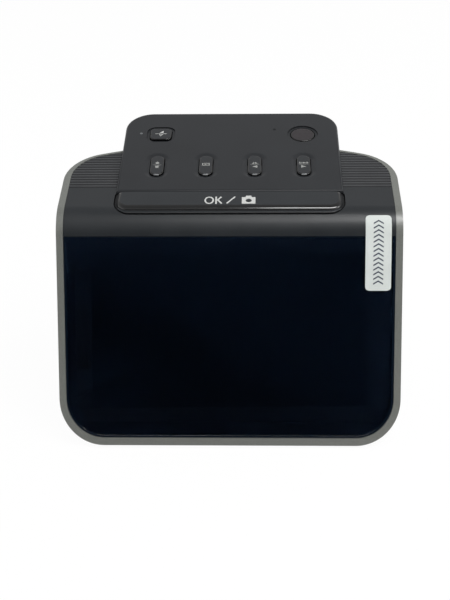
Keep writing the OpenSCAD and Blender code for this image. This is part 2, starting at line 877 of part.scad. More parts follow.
module lens_barrel() {
    in_row() color("#111214") translate([0, film_mid, tower_top - 3]) difference() {
        cylinder(d = lens_d, h = 14);
        translate([0, 0, 1]) cylinder(d = lens_d - 3, h = 14);
        translate([0, 0, -1]) cylinder(d = lens_d - 6, h = 4);
    }
}

module lens_elements() {
    in_row() color([0.7, 0.8, 0.85, 0.5]) for (z = [0, 4, 8]) translate([0, film_mid, tower_top - 2 + z])
        intersection() {
            cylinder(d = lens_d - 3.1, h = 2.4);
            translate([0, 0, 2.4 - 18]) sphere(18);
        }
}

module sensor_board() {
    in_row() color(board_green) translate([0, film_mid, 0]) between(sensor_z, sensor_z + board_t)
        difference() {
            square(sensor_board_size, center = true);
            for (x = [-ear_x, ear_x]) translate([x, 0]) circle(d = 2.4);
        }
}

module sensor_screws() {
    in_row() color(steel) for (x = [-ear_x, ear_x])
        translate([x, film_mid, sensor_z + board_t]) mirror([0, 0, 1]) screw(small_screw, board_t + 5);
}

module image_sensor() {
    in_row() color("#2a3038") translate([-4.4, film_mid - 3.5, sensor_z - 1.4]) cube([8.8, 7, 1.4]);
}

module diffuser() {
    in_row() color("#f2f2ee") translate([0, film_mid, 0]) between(box_top, box_top + diffuser_t)
        square(box_size, center = true);
}

module light_box() {
    in_row() color("#eceae4") translate([0, film_mid, 0]) difference() {
        between(wall, box_top) square(box_size, center = true);
        between(wall + box_wall, box_top + 1) square(box_size - 2 * [box_wall, box_wall], center = true);
        translate([-4, 0, wall + box_wall + board_t]) cube([8, box_size[1], 1]);
    }
}

module led_board() {
    in_row() color("#f0f0f0") translate([0, film_mid, 0])
        between(wall + box_wall, wall + box_wall + board_t)
        square(box_size - 2 * [box_wall + 0.2, box_wall + 0.2], center = true);
}

module backlight_leds() {
    in_row() color("#f4e9a0") for (i = [0:led_count[0] - 1], j = [0:led_count[1] - 1])
        translate([(i - (led_count[0] - 1) / 2) * 12, film_mid + (j - (led_count[1] - 1) / 2) * 12,
                wall + box_wall + board_t + 0.4]) cube([3.5, 2.8, 0.8], center = true);
}

// Flat cables; their routes are points in the side view
module lcd_flex() {
    start = lcd_d + lcd_t + flex_off;
    in_row() color(flex_brown) ribbon([behind_face(56, start), behind_face(60, start), [31, 56.5],
            [33.5, 64.5], [46, 69.2], [58, flex_z], [main_front + 4, flex_z]], 24, 12);
}
module sensor_flex() {
    in_row() color(flex_brown) ribbon([[film_mid + 12, sensor_z + board_t + flex_off],
            [film_mid + 17, sensor_z + board_t + flex_off], [film_mid + 19.5, main_top + 3.5],
            [main_front + 7.6, flex_z], [main_front + 10.6, flex_z]], 0, 10);
}
module key_flex() {
    low = board_top - board_t - flex_off;
    in_row() color(flex_brown) ribbon([above_top(27, low), above_top(32, low), above_top(33.5, low - 3),
            [main_front + 8.5, flex_z], [main_front + 12.6, flex_z]], -26, 8);
}
module led_flex() {
    z = wall + box_wall + board_t + flex_off;
    in_row() color(flex_brown) ribbon([[film_mid + 16, z], [film_mid + 24, z], [stage_rear + 3, z + 8],
            [stage_rear + 3.5, main_z - 6], [stage_rear + 1, main_z - flex_off],
            [stage_rear - 4, main_z - flex_off]], 0, 6);
}

module rubber_feet() {
    in_row() color("#1c1c1c") for (at = foot_at) translate([at[0], at[1], -foot_drop])
        cylinder(d = foot_d, h = foot_drop + foot_sink);
}

module base_screws() {
    in_row() color(steel) for (at = leg_at)
        translate([at[0], at[1], base_screw[2] + 0.1]) screw(base_screw, 11);
}

outer_shell();
screen_frame();
lcd_panel();
window_adhesive();
screen_window();
protective_film();
peel_tab();
frame_screws();
top_cover();
control_head();
head_screws();
ok_bar();
square_button();
power_button();
pill_button(0);  // pill_button_1
pill_button(1);  // pill_button_2
pill_button(2);  // pill_button_3
pill_button(3);  // pill_button_4
ok_plungers();
plunger(square_at);  // square_plunger
plunger(power_at);  // power_plunger
plunger(pill_at[0]);  // pill_plunger_1
plunger(pill_at[1]);  // pill_plunger_2
plunger(pill_at[2]);  // pill_plunger_3
plunger(pill_at[3]);  // pill_plunger_4
key_board();
key_switches();
key_board_screws();
power_light_pipe();
status_light_pipe();
indicator_leds();
main_board();
main_board_screws();
board_chips();
board_sockets();
card_socket();
usb_inlet();
hdmi_socket();
film_stage_lower();
film_stage_upper();
stage_screws();
lens_tower();
lens_barrel();
lens_elements();
sensor_board();
sensor_screws();
image_sensor();
diffuser();
light_box();
led_board();
backlight_leds();
lcd_flex();
sensor_flex();
key_flex();
led_flex();
rubber_feet();
base_screws();
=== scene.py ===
# %% [markdown]
# A desktop film scanner: a dark screen leans back in a grey shell, a smooth band bends over
# the shell's shoulder into a ribbed top, and a control head with press keys lies on that top.
# The construction comes ready as a frame of separate parts. Here each visible part gets the
# soft edges, printed marks and moulded, painted or polished finish that the real one has.

# %% Load the frame
import math

import bmesh
import bpy
from mathutils import Matrix, Vector


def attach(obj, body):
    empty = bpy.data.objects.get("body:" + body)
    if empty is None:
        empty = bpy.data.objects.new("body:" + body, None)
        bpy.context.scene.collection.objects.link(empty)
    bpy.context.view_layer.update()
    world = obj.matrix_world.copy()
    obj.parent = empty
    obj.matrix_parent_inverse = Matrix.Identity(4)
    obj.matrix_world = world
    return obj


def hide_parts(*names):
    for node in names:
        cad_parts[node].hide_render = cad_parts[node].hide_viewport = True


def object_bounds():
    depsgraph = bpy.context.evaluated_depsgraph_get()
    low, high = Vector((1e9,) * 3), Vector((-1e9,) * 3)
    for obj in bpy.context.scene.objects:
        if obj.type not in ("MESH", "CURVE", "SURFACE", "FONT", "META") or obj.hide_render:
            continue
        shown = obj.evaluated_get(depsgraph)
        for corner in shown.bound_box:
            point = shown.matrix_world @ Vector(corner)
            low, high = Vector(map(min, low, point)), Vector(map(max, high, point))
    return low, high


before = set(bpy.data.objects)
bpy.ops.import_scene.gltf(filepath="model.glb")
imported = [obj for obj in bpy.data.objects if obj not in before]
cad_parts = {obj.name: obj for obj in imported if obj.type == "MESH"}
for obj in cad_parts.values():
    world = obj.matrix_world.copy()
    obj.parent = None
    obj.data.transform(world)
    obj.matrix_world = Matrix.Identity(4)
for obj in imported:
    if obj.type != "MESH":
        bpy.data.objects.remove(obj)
CAD_BOX = [list(corner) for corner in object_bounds()]
MM = 0.001
print("parts in the frame:", len(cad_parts))

# %% [markdown]
# Two flat working planes carry nearly everything in sight: the face, which leans back, and
# the top, which climbs to the rear. Each plane gets a matrix, so that a key or a printed mark
# can be drawn flat, in millimetres, and then laid in place. The planes come from the same few
# driving sizes as the construction: the two slopes, the face's length and the shoulder's radius.

# %% Working planes
FACE_TILT = math.radians(21)
TOP_SLOPE = math.radians(12)
FACE_LENGTH = 86.2
SHOULDER_RADIUS = 13.5
FOOT_DROP = 1.5

low, high = (Vector(corner) for corner in CAD_BOX)
FRONT_EDGE = Vector((0, low.y, FOOT_DROP * MM))
SHOULDER_Y = FACE_LENGTH * math.sin(FACE_TILT) + SHOULDER_RADIUS * math.cos(FACE_TILT)
SHOULDER_Z = FACE_LENGTH * math.cos(FACE_TILT) - SHOULDER_RADIUS * math.sin(FACE_TILT)
TOP_START = Vector((
    0,
    SHOULDER_Y - SHOULDER_RADIUS * math.sin(TOP_SLOPE),
    SHOULDER_Z + SHOULDER_RADIUS * math.cos(TOP_SLOPE),
))

IN_MM = Matrix.Translation(FRONT_EDGE) @ Matrix.Scale(MM, 4)
FACE = IN_MM @ Matrix.Rotation(math.pi / 2 - FACE_TILT, 4, "X")
TOP = IN_MM @ Matrix.Translation(TOP_START) @ Matrix.Rotation(TOP_SLOPE, 4, "X")
flat_top = TOP.inverted()
upwards = (TOP.to_3x3() @ Vector((0, 0, 1))).normalized()


def box_on(plane, node):
    """Lowest and highest corners of a part, in millimetres along a working plane."""
    flat = plane.inverted()
    points = [flat @ v.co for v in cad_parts[node].data.vertices]
    return [Vector(f(p[i] for p in points) for i in range(3)) for f in (min, max)]


def over_the_shoulder(across, reach, lift):
    """A place up the face and over the shoulder, at a distance off the skin, in millimetres."""
    if reach <= FACE_LENGTH:
        return FACE @ Vector((across, reach, lift))
    turn = FACE_TILT + (reach - FACE_LENGTH) / SHOULDER_RADIUS
    radius = SHOULDER_RADIUS + lift
    return IN_MM @ Vector((
        across, SHOULDER_Y - radius * math.cos(turn), SHOULDER_Z + radius * math.sin(turn),
    ))


HEAD_HIGH = box_on(TOP, "control_head")[1]
PLATE = HEAD_HIGH.z
print("the head's face stands", round(PLATE, 2), "mm above the ribs")

# %% [markdown]
# The camera looks down at the scanner from just right of its middle, at arm's length. It is
# made first, because everything else is judged through it. Its place and its three turns are
# named, and the lens follows from a focal length counted in the frame's pixels.

# %% Camera
CAMERA_AT = Vector((11.48, -384.17, 276.33))
CAMERA_YAW = math.radians(1.85)
CAMERA_PITCH = math.radians(28.5)
CAMERA_ROLL = math.radians(-0.87)
FRAME_HEIGHT_PX = 600
FOCAL_PX = 1150

camera_data = bpy.data.cameras.new("camera")
camera_data.sensor_fit = "VERTICAL"
camera_data.sensor_height = 24
camera_data.lens = camera_data.sensor_height * FOCAL_PX / FRAME_HEIGHT_PX
camera = bpy.data.objects.new("camera", camera_data)
bpy.context.scene.collection.objects.link(camera)
camera.matrix_world = (
    Matrix.Translation(IN_MM @ CAMERA_AT)
    @ Matrix.Rotation(CAMERA_YAW, 4, "Z")
    @ Matrix.Rotation(math.pi / 2 - CAMERA_PITCH, 4, "X")
    @ Matrix.Rotation(CAMERA_ROLL, 4, "Z")
)
bpy.context.scene.camera = camera
bpy.context.scene.view_settings.view_transform = "Standard"
print("lens", round(camera_data.lens, 1), "mm")

# %% [markdown]
# A material is a small network of nodes. One helper adds a node, sets what it is given and
# makes the links, so that each finish below reads as a list of what it is made of. Colours
# are written as the hex values seen on a screen and turned to linear light once, here.


# %% Node helpers
def linear(hex_colour):
    """An sRGB hex colour, such as "#3d3e41", as linear red, green, blue and alpha."""
    parts = [int(hex_colour[i:i + 2], 16) / 255 for i in (1, 3, 5)]
    return [p / 12.92 if p <= 0.04045 else ((p + 0.055) / 1.055) ** 2.4 for p in parts] + [1.0]


def add(tree, kind, sockets, **settings):
    """Adds a node, sets its settings, and links or sets each of its input sockets."""
    node = tree.nodes.new(kind)
    for key, value in settings.items():
        setattr(node, key, value)
    for key, value in sockets.items():
        if isinstance(value, bpy.types.NodeSocket):
            tree.links.new(value, node.inputs[key])
        else:
            node.inputs[key].default_value = value
    return node


def noise(tree, place, size, detail=2.0):
    """The value of a noise whose grains are a size in millimetres."""
    return add(tree, "ShaderNodeTexNoise", {
        "Vector": place, "Scale": 1 / (size * MM), "Detail": detail,
    }).outputs[0]


def spread(tree, value, start, end, to_start=0.0, to_end=1.0):
    """Stretches part of a value's range over another range."""
    return add(tree, "ShaderNodeMapRange", {
        "Value": value, "From Min": start, "From Max": end, "To Min": to_start, "To Max": to_end,
    }).outputs[0]


def mix(tree, amount, first, second):
    """Mixes two hex colours by an amount."""
    return add(tree, "ShaderNodeMix", {
        0: amount, 6: linear(first), 7: linear(second),
    }, data_type="RGBA").outputs[2]


def start_material(name):
    """A new material with its shader, and the place on the object that patterns start from."""
    material = bpy.data.materials.new(name)
    material.use_nodes = True
    tree = material.node_tree
    place = add(tree, "ShaderNodeTexCoord", {}).outputs["Object"]
    return material, tree, tree.nodes["Principled BSDF"], place


def dent(tree, shader, height, strength, depth):
    """Bumps a shader by a height, whose full depth is in millimetres."""
    bump = add(tree, "ShaderNodeBump", {"Height": height, "Strength": strength, "Distance": depth * MM})
    tree.links.new(bump.outputs[0], shader.inputs["Normal"])


# %% [markdown]
# Nearly every part in sight is ABS from a steel mould. The mould's skin was spark-eroded, and
# the plastic copies it as a fine, even grain that scatters light, so highlights are broad and
# soft. The true grain is under 0.1 mm and would vanish in a picture of this size, so it is
# drawn a few times coarser. Slow clouds in the colour and the roughness stand for the slight
# unevenness that every moulding has.


# %% Moulded plastic
def moulded(name, dark, light, roughness, grain=0.35, depth=0.02, gloss=0.2):
    """Spark-textured ABS between two close shades; grain and depth are in millimetres."""
    material, tree, shader, place = start_material(name)
    grains = noise(tree, place, grain)
    clouds = noise(tree, place, 14, 3.0)
    both = add(tree, "ShaderNodeMath", {0: grains, 1: clouds}, operation="MULTIPLY").outputs[0]
    tree.links.new(mix(tree, spread(tree, both, 0.12, 0.4), dark, light), shader.inputs["Base Color"])
    sheen = spread(tree, clouds, 0.3, 0.7, roughness - 0.03, roughness + 0.03)
    tree.links.new(sheen, shader.inputs["Roughness"])
    dent(tree, shader, grains, 0.5, depth)
    shader.inputs["Specular IOR Level"].default_value = gloss
    return material


head_abs = moulded("spark_textured_abs_head", "#1f2124", "#25272a", 0.42, gloss=0.28)
band_abs = moulded("satin_abs_band", "#1f2225", "#24272a", 0.38, gloss=0.35)
rib_abs = moulded("spark_textured_abs_ribs", "#3e3f41", "#464749", 0.55)
key_abs = moulded("satin_abs_keys", "#242629", "#292b2e", 0.4, grain=0.3, depth=0.012, gloss=0.3)
bar_abs = moulded("satin_abs_bar", "#222528", "#272a2d", 0.38, grain=0.3, depth=0.012, gloss=0.3)
# Polished black for the bar's roll, and painted shade under the bar's lip.
polished_and_shade_abs = moulded("polished_abs_edge_and_painted_shade", "#08090a", "#0b0c0d", 0.12, depth=0.002, gloss=0.8)
# A painted highlight: the pale patch that stands for the glint on the pill keys' front lips.
glint_abs = moulded("painted_glint_abs_key_lip", "#7c7e80", "#8a8c8e", 0.3, depth=0.004, gloss=0.5)
# The key lips, coloured polished black as painted shade, so each key has a dark outline.
lip_shade_abs = moulded("polished_abs_key_lip_painted_shade", "#050506", "#080809", 0.16, depth=0.002, gloss=0.6)
power_abs = moulded("coarse_abs_power_key", "#2f2c2e", "#3d3a3c", 0.6, grain=0.5, depth=0.05)
# Black for the inner parts, and painted shade in the key holes, the bar's pocket and the bar's ends.
black_and_shade_abs = moulded("matt_black_abs_inside_and_painted_shade", "#111214", "#161719", 0.6)
# The ribs' plastic, matt, and coloured darker for the groove walls as painted shade.
groove_shade_abs = moulded("matt_abs_groove_painted_shade", "#2e2f31", "#353638", 0.7)
pipe_abs = moulded("opal_grey_acrylic", "#5a5e60", "#666a6c", 0.3, depth=0.004, gloss=0.4)
white_abs = moulded("opal_polycarbonate", "#e9e8e2", "#efeee9", 0.5, depth=0.008)
rubber = moulded("moulded_rubber", "#161616", "#1d1d1d", 0.85, grain=0.5, depth=0.04)
print("moulded plastics:", len(bpy.data.materials))

# %% [markdown]
# The shell is grey all through and painted over with a soft satin lacquer. The lacquer fills
# the mould's grain, so its bump is low and long, like the skin of an orange, and a few
# darker specks of pigment show.


# %% Painted shell
def painted(name, dark, light, roughness):
    """Satin lacquer on plastic: orange-peel bump and fine pigment specks."""
    material, tree, shader, place = start_material(name)
    specks = spread(tree, noise(tree, place, 0.4, 4.0), 0.35, 0.65)
    tree.links.new(mix(tree, specks, dark, light), shader.inputs["Base Color"])
    dent(tree, shader, noise(tree, place, 1.2), 0.3, 0.02)
    shader.inputs["Roughness"].default_value = roughness
    shader.inputs["Specular IOR Level"].default_value = 0.85
    return material


shell_paint = painted("satin_lacquer_shell", "#626460", "#6e706b", 0.34)

# %% [markdown]
# The window is one sheet of clear acrylic, printed black from behind except over the display.
# Switched off, the display is a shade darker and bluer than the print. A box drawn from its
# distance to the face's axes tells the two apart. The sheet itself is polished, with a faint
# haze of dust.

# %% Window
PICTURE_HALF_WIDTH = 55.35
PICTURE_LOW, PICTURE_HIGH = 16.8, 79.1


def acrylic(name):
    """Back-printed acrylic over a dark display."""
    material, tree, shader, place = start_material(name)
    flat = FACE.inverted()
    on_face = add(tree, "ShaderNodeMapping", {
        "Vector": place, "Location": flat.to_translation(), "Rotation": flat.to_euler(),
        "Scale": flat.to_scale(),
    })
    axes = add(tree, "ShaderNodeSeparateXYZ", {"Vector": on_face.outputs[0]}).outputs
    middle = (0, (PICTURE_LOW + PICTURE_HIGH) / 2)
    half = (PICTURE_HALF_WIDTH, (PICTURE_HIGH - PICTURE_LOW) / 2)
    beyond = []
    for axis in (0, 1):
        offset = add(tree, "ShaderNodeMath", {0: axes[axis], 1: middle[axis]}, operation="SUBTRACT")
        reach = add(tree, "ShaderNodeMath", {0: offset.outputs[0]}, operation="ABSOLUTE")
        past = add(tree, "ShaderNodeMath", {0: reach.outputs[0], 1: half[axis]}, operation="SUBTRACT")
        beyond.append(past.outputs[0])
    outside = add(tree, "ShaderNodeMath", {0: beyond[0], 1: beyond[1]}, operation="MAXIMUM").outputs[0]
    border = spread(tree, outside, -0.2, 0.2)
    haze = spread(tree, noise(tree, place, 1.5, 5.0), 0.3, 0.8, 0.04, 0.1)
    tree.links.new(mix(tree, border, "#060e18", "#0c141f"), shader.inputs["Base Color"])
    tree.links.new(haze, shader.inputs["Roughness"])
    shader.inputs["Specular IOR Level"].default_value = 0.3
    return material


window_acrylic = acrylic("back_printed_acrylic")

# %% [markdown]
# Clear pieces let light through and show themselves mostly by their reflections: the thin
# protective film over the window, and the glass of the lens.


# %% Clear pieces
def clear(name, colour, roughness, ior):
    """A clear sheet or glass; a faint waviness keeps its reflections alive."""
    material, tree, shader, place = start_material(name)
    dent(tree, shader, noise(tree, place, 9), 0.1, 0.03)
    shader.inputs["Base Color"].default_value = linear(colour)
    shader.inputs["Roughness"].default_value = roughness
    shader.inputs["Transmission Weight"].default_value = 1.0
    shader.inputs["IOR"].default_value = ior
    return material


lens_glass = clear("coated_glass", "#dfeae6", 0.02, 1.52)
polyester = clear("clear_polyester_film", "#ffffff", 0.03, 1.2)

# %% [markdown]
# The rest are the usual materials inside such a device: zinc-plated screws and tinned sockets
# with faint turning or rolling marks, green solder mask over woven glass, and amber film with
# copper tracks under it. The real weave and tracks are about half a millimetre apart. Here both
# are drawn several times coarser.


# %% Metals and boards
def brushed(name, colour, roughness, streak):
    """Plated steel; rolling marks run along X, a streak's width in millimetres apart."""
    material, tree, shader, place = start_material(name)
    drawn = add(tree, "ShaderNodeMapping", {"Vector": place, "Scale": (0.05, 1, 1)}).outputs[0]
    marks = noise(tree, drawn, streak, 3.0)
    worn = spread(tree, marks, 0, 1, roughness - 0.1, roughness + 0.1)
    tree.links.new(worn, shader.inputs["Roughness"])
    dent(tree, shader, marks, 0.2, 0.01)
    shader.inputs["Base Color"].default_value = linear(colour)
    shader.inputs["Metallic"].default_value = 1.0
    return material


WAVE_PERIOD = math.pi / 10


def laminate(name, dark, light, pitch):
    """A woven or tracked sheet: two crossed waves, pitch millimetres apart, tint and dent it."""
    material, tree, shader, place = start_material(name)
    scale = WAVE_PERIOD / (pitch * MM)
    along = add(tree, "ShaderNodeTexWave", {"Vector": place, "Scale": scale}, bands_direction="X")
    across = add(tree, "ShaderNodeTexWave", {"Vector": place, "Scale": scale}, bands_direction="Y")
    weave = add(tree, "ShaderNodeMath", {
        0: along.outputs[1], 1: across.outputs[1],
    }, operation="MULTIPLY").outputs[0]
    tree.links.new(mix(tree, weave, dark, light), shader.inputs["Base Color"])
    dent(tree, shader, weave, 0.2, 0.02)
    shader.inputs["Roughness"].default_value = 0.35
    return material


plated_steel = brushed("zinc_plated_steel", "#b9bbbd", 0.35, 0.1)
solder_mask = laminate("solder_mask_on_glass_weave", "#0d3a20", "#155230", 3.77)
amber_film = laminate("polyimide_over_copper", "#8c4f16", "#a8651f", 6.28)
brown_resin = moulded("phenolic_plunger", "#6b5030", "#76593a", 0.5)
led_resin = moulded("led_epoxy", "#d8cf8e", "#e5dda6", 0.3)
cream_nylon = moulded("cream_nylon", "#c9c3ae", "#d6d1bd", 0.5)
display_glass = moulded("display_glass", "#07080b", "#0a0c10", 0.15, depth=0.001, gloss=0.5)
label_stock = moulded("white_polyester_label", "#c5cac7", "#d0d5d2", 0.5, depth=0.004, gloss=0.3)
slate_ink = moulded("slate_printing_ink", "#262f42", "#30394e", 0.6, depth=0.002)
dim_ink = moulded("grey_printing_ink", "#8c8d8b", "#979896", 0.6, depth=0.002)
pale_ink = moulded("pale_printing_ink", "#b9bab8", "#c4c5c3", 0.6, depth=0.002)

# %% [markdown]
# The construction's parts have knife edges. A real moulding never does: its edges are rounded
# by a tenth of a millimetre at least, and that round is what catches the light. So each part
# in sight is copied, its loose triangles are joined, flat areas are cleaned, and chosen edges
# are bevelled. Faces are shaded smooth except across edges that stay sharp. A crease is taken to
# lie in a flat skin when it is less than SKIN, in millimetres, below it.

# %% Dressing a part
SHARP = math.radians(28)
MERGE, COPLANAR = 0.002, math.radians(0.2)
SKIN = 0.05


def joined(node):
    """A part's mesh as one skin: shared corners merged, flat areas freed of inner edges."""
    bm = bmesh.new()
    bm.from_mesh(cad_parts[node].data)
    bmesh.ops.remove_doubles(bm, verts=bm.verts, dist=MERGE * MM)
    bmesh.ops.dissolve_limit(bm, angle_limit=COPLANAR, verts=bm.verts, edges=bm.edges)
    return bm


def sharp_edges(bm, plane, chosen):
    """Creases both of whose ends pass a test of their place on a working plane."""
    flat = plane.inverted()
    spots = {v: flat @ v.co for v in bm.verts}
    creases = [e for e in bm.edges if e.is_manifold and e.calc_face_angle(0) > SHARP]
    return [e for e in creases if all(chosen(spots[v]) for v in e.verts)]


def round_off(bm, edges, width, segments=3):
    """Bevels edges by a width in the mesh's own unit."""
    bmesh.ops.bevel(
        bm, geom=edges, offset=width, offset_type="OFFSET", segments=segments,
        profile=0.5, affect="EDGES", clamp_overlap=True, material=-1,
    )


def finished(bm, name, materials, body, replaced=()):
    """Turns a bmesh into a piece that rides on a body and shades smoothly between its creases."""
    for face in bm.faces:
        face.smooth = True
    for edge in bm.edges:
        edge.smooth = not edge.is_manifold or edge.calc_face_angle(0) < SHARP
    mesh = bpy.data.meshes.new(name)
    bm.to_mesh(mesh)
    bm.free()
    piece = bpy.data.objects.new(name, mesh)
    bpy.context.scene.collection.objects.link(piece)
    for material in materials:
        mesh.materials.append(material)
    weighted = piece.modifiers.new("even_shading", "WEIGHTED_NORMAL")
    weighted.keep_sharp = True
    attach(piece, body)
    if replaced:
        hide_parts(*replaced)
    print(name, len(mesh.polygons), "faces")
    return piece


# %% [markdown]
# The shell's rim frames the screen and the top. Its outer edge is well rounded and shows as a
# pale line all the way round; its inner edge is crisp. The outer edge is found by asking each
# crease whether the wall beyond it faces away from the shell's middle.

# %% Shell
RIM_ROUND = 1.0
LOOKS_UP_AND_AHEAD, STRAIGHT = 0.95, 0.1
shell = joined("outer_shell")
shell_middle = Vector((0, 0, high.z / 2))


def on_rim(edge):
    """True on the outer edge of the rim, from the face's foot over the top to the rear."""
    middle = (edge.verts[0].co + edge.verts[1].co) / 2
    walls = [f.normal for f in edge.link_faces]
    up = max(walls, key=lambda n: n.z - n.y)
    out = min(walls, key=lambda n: n.z - n.y)
    is_skin = up.z - up.y > LOOKS_UP_AND_AHEAD and abs(up.x) < STRAIGHT
    return is_skin and out.dot(middle - shell_middle) > 0


rim = [e for e in sharp_edges(shell, FACE, lambda spot: True) if on_rim(e)]
round_off(shell, rim, RIM_ROUND * MM, 4)
finished(shell, "painted_shell", [shell_paint], "housing", ["outer_shell"])

# %% [markdown]
# The cover is smooth and a little glossy from the screen's edge over the shoulder, and
# spark-textured where the ribs begin. The ribs stand between grooves cut as V's. Moulded ribs
# are softer than that, so each groove's two lips are rounded. The groove walls are matt, and
# coloured darker than the ribs as painted shade. The pocket under the bar key is coloured black
# as painted shade, and shows as a black line around the bar.

# %% Cover
RIB_ROUND, RIB_SHORTEST = 0.16, 5
FIRST_LIP, RIBS_START = 12.1, 12.5
GROOVE_WALL, GROOVE_FLOOR = -0.14, -1
POCKET_FRONT, POCKET_REAR, POCKET_FLOOR = -5.5, 9, -1.2
POCKET_HALF, POCKET_WALL = HEAD_HIGH.x + 1, 0.5
BAND, RIBS, GROOVES, POCKET = range(4)
cover = joined("top_cover")
lips = sharp_edges(cover, TOP, lambda spot: spot.z > -SKIN and spot.y > FIRST_LIP)
round_off(cover, [e for e in lips if e.calc_length() > RIB_SHORTEST * MM], RIB_ROUND * MM, 2)


def in_pocket(spot, normal):
    """True on the walls and the floor of the pocket under the bar key."""
    is_inside = abs(spot.x) < POCKET_HALF and POCKET_FRONT < spot.y < POCKET_REAR
    is_wall = abs(normal.dot(upwards)) < POCKET_WALL
    return is_inside and (is_wall or spot.z < POCKET_FLOOR)


for face in cover.faces:
    spot = flat_top @ face.calc_center_median()
    if in_pocket(spot, face.normal):
        # The pocket's walls and floor are coloured black as painted shade.
        face.material_index = POCKET
    elif spot.y > RIBS_START:
        # Groove walls are coloured darker than the ribs as painted shade.
        face.material_index = GROOVES if GROOVE_WALL > spot.z > GROOVE_FLOOR else RIBS
    else:
        face.material_index = BAND
cover_finishes = [band_abs, rib_abs, groove_shade_abs, black_and_shade_abs]
finished(cover, "ribbed_cover", cover_finishes, "housing", ["top_cover"])

# %% [markdown]
# The control head is one moulding: a plate with a well rounded outer edge and a shallow dish
# pressed in round each pill key. The holes' rims have a tiny round, as a mould leaves it, and
# their walls are coloured black as painted shade, so that each key has a fine dark outline.

# %% Control head
HEAD_ROUND, HOLE_ROUND = 1.2, 0.35
PLATE_SIDE, PLATE_CORNERS = HEAD_HIGH.x - 1.5, HEAD_HIGH.y - 9
KEYS_HALF, KEYS_FRONT, KEYS_REAR = HEAD_HIGH.x - 2, 9.4, HEAD_HIGH.y - 4
HOLE_DEPTH = 1.2
STEEP = 0.9
head = joined("control_head")


def on_plate_edge(spot):
    """True on the outer edge of the head's plate, clear of the keys' holes."""
    return spot.z > PLATE - SKIN and (abs(spot.x) > PLATE_SIDE or spot.y > PLATE_CORNERS)


def among_the_keys(spot):
    """True on the plate's skin and in its holes, clear of the plate's outer edges."""
    is_inside = abs(spot.x) < KEYS_HALF and KEYS_FRONT < spot.y < KEYS_REAR
    return is_inside and spot.z > PLATE - HOLE_DEPTH


round_off(head, sharp_edges(head, TOP, on_plate_edge), HEAD_ROUND * MM, 4)
round_off(head, sharp_edges(head, TOP, among_the_keys), HOLE_ROUND * MM, 2)
for face in head.faces:
    is_steep = abs(face.normal.dot(upwards)) < STEEP
    is_hole = is_steep and among_the_keys(flat_top @ face.calc_center_median())
    # Hole walls are coloured black as painted shade.
    face.material_index = int(is_hole)
head_finishes = [head_abs, black_and_shade_abs]
finished(head, "control_head_moulding", head_finishes, "housing", ["control_head"])

# %% [markdown]
# The bar key is the largest key. Its base is a satin lip that shows as a thin light line over
# the gap to the band; behind it, a polished front edge rolls over into the satin top. Underneath,
# the lip is coloured black as painted shade, and so are the two ends below the top, so that the
# gap around the bar stays dark. The bar is stacked up from outlines that are round ahead and
# nearly square behind, each drawn in from the last. The rear edge keeps close to the plate, so
# that the seam there is faint. The stems below come from the construction's own part, cut off
# under the bar.

# %% Bar key
BAR_LENGTH, BAR_DEPTH, BAR_MIDDLE = 92.9, 12.6, 1.8
BAR_BOTTOM = -0.75
REAR_SQUARE = 0.85
END_SHARE, REAR_SHARE = 0.7, 0.06
LIP_DEPTH, LIP_SHADE, LIP_TOP = 1.0, -0.3, 0.03
ROLL_START, ROLL_IN, ROLL_STEPS = 0.1, 2.6, 12
END_SHADE = 1.7
TOP_FACE = 0.01
SATIN, POLISHED_AND_SHADE, SHADED = range(3)
bar_base = [(0.25, BAR_BOTTOM), (0.05, -0.65), (0.0, -0.5), (0.0, -0.25), (0.05, -0.1), (0.2, 0.0)]
bar_lip = [(LIP_DEPTH - 0.1, 0.0), (LIP_DEPTH, 0.02)]
bar_roll = [
    (LIP_DEPTH + ROLL_IN * (1 - math.cos(t)), ROLL_START + (PLATE - ROLL_START) * math.sin(t))
    for t in (math.pi / 2 * i / ROLL_STEPS for i in range(ROLL_STEPS + 1))
]


def stacked(length, depth, profile, segments=62):
    """Outlines, round ahead and squarer behind, bridged into one solid.

    A profile lists each outline's inset and height, in millimetres. The two ends and the rear
    edge take only a share of each inset.
    """
    bm = bmesh.new()
    radius = depth / 2
    reach = length / 2 - radius
    below = set()
    for i, (inset, height) in enumerate(profile):
        is_end = i in (0, len(profile) - 1)
        ring = bmesh.ops.create_circle(bm, cap_ends=is_end, segments=segments, radius=1)["verts"]
        edges = {e for v in ring for e in v.link_edges}
        for v in ring:
            is_rear = v.co.y > 0
            fill = max(abs(v.co.x), abs(v.co.y)) ** -REAR_SQUARE if is_rear else 1
            across = v.co.x * fill * (radius - inset * END_SHARE) + math.copysign(reach, v.co.x)
            along = v.co.y * fill * (radius - inset * (REAR_SHARE if is_rear else 1))
            v.co = Vector((across, along, height))
        if below:
            bmesh.ops.bridge_loops(bm, edges=list(below | edges))
        below = edges
    bmesh.ops.recalc_face_normals(bm, faces=bm.faces)
    return bm


def laid(bm, plane, across=0, along=0, lift=0):
    """Carries a flat drawing in millimetres to its place on a working plane."""
    bmesh.ops.transform(bm, matrix=plane @ Matrix.Translation((across, along, lift)), verts=bm.verts)
    return bm


bar = laid(stacked(BAR_LENGTH, BAR_DEPTH, bar_base + bar_lip + bar_roll), TOP, 0, BAR_MIDDLE)
for face in bar.faces:
    spot = flat_top @ face.calc_center_median()
    is_below_top = spot.z < PLATE - TOP_FACE
    # The bar's ends below the top are coloured black as painted shade.
    if is_below_top and abs(spot.x) > BAR_LENGTH / 2 - END_SHADE:
        face.material_index = SHADED
    elif spot.z < LIP_SHADE or (is_below_top and spot.z > LIP_TOP):
        # Below LIP_SHADE the bar is coloured polished black as painted shade; above the lip it is the
        # polished roll.
        face.material_index = POLISHED_AND_SHADE
    else:
        face.material_index = SATIN
finished(bar, "bar_key", [bar_abs, polished_and_shade_abs, black_and_shade_abs], "ok_bar", ["ok_bar"])

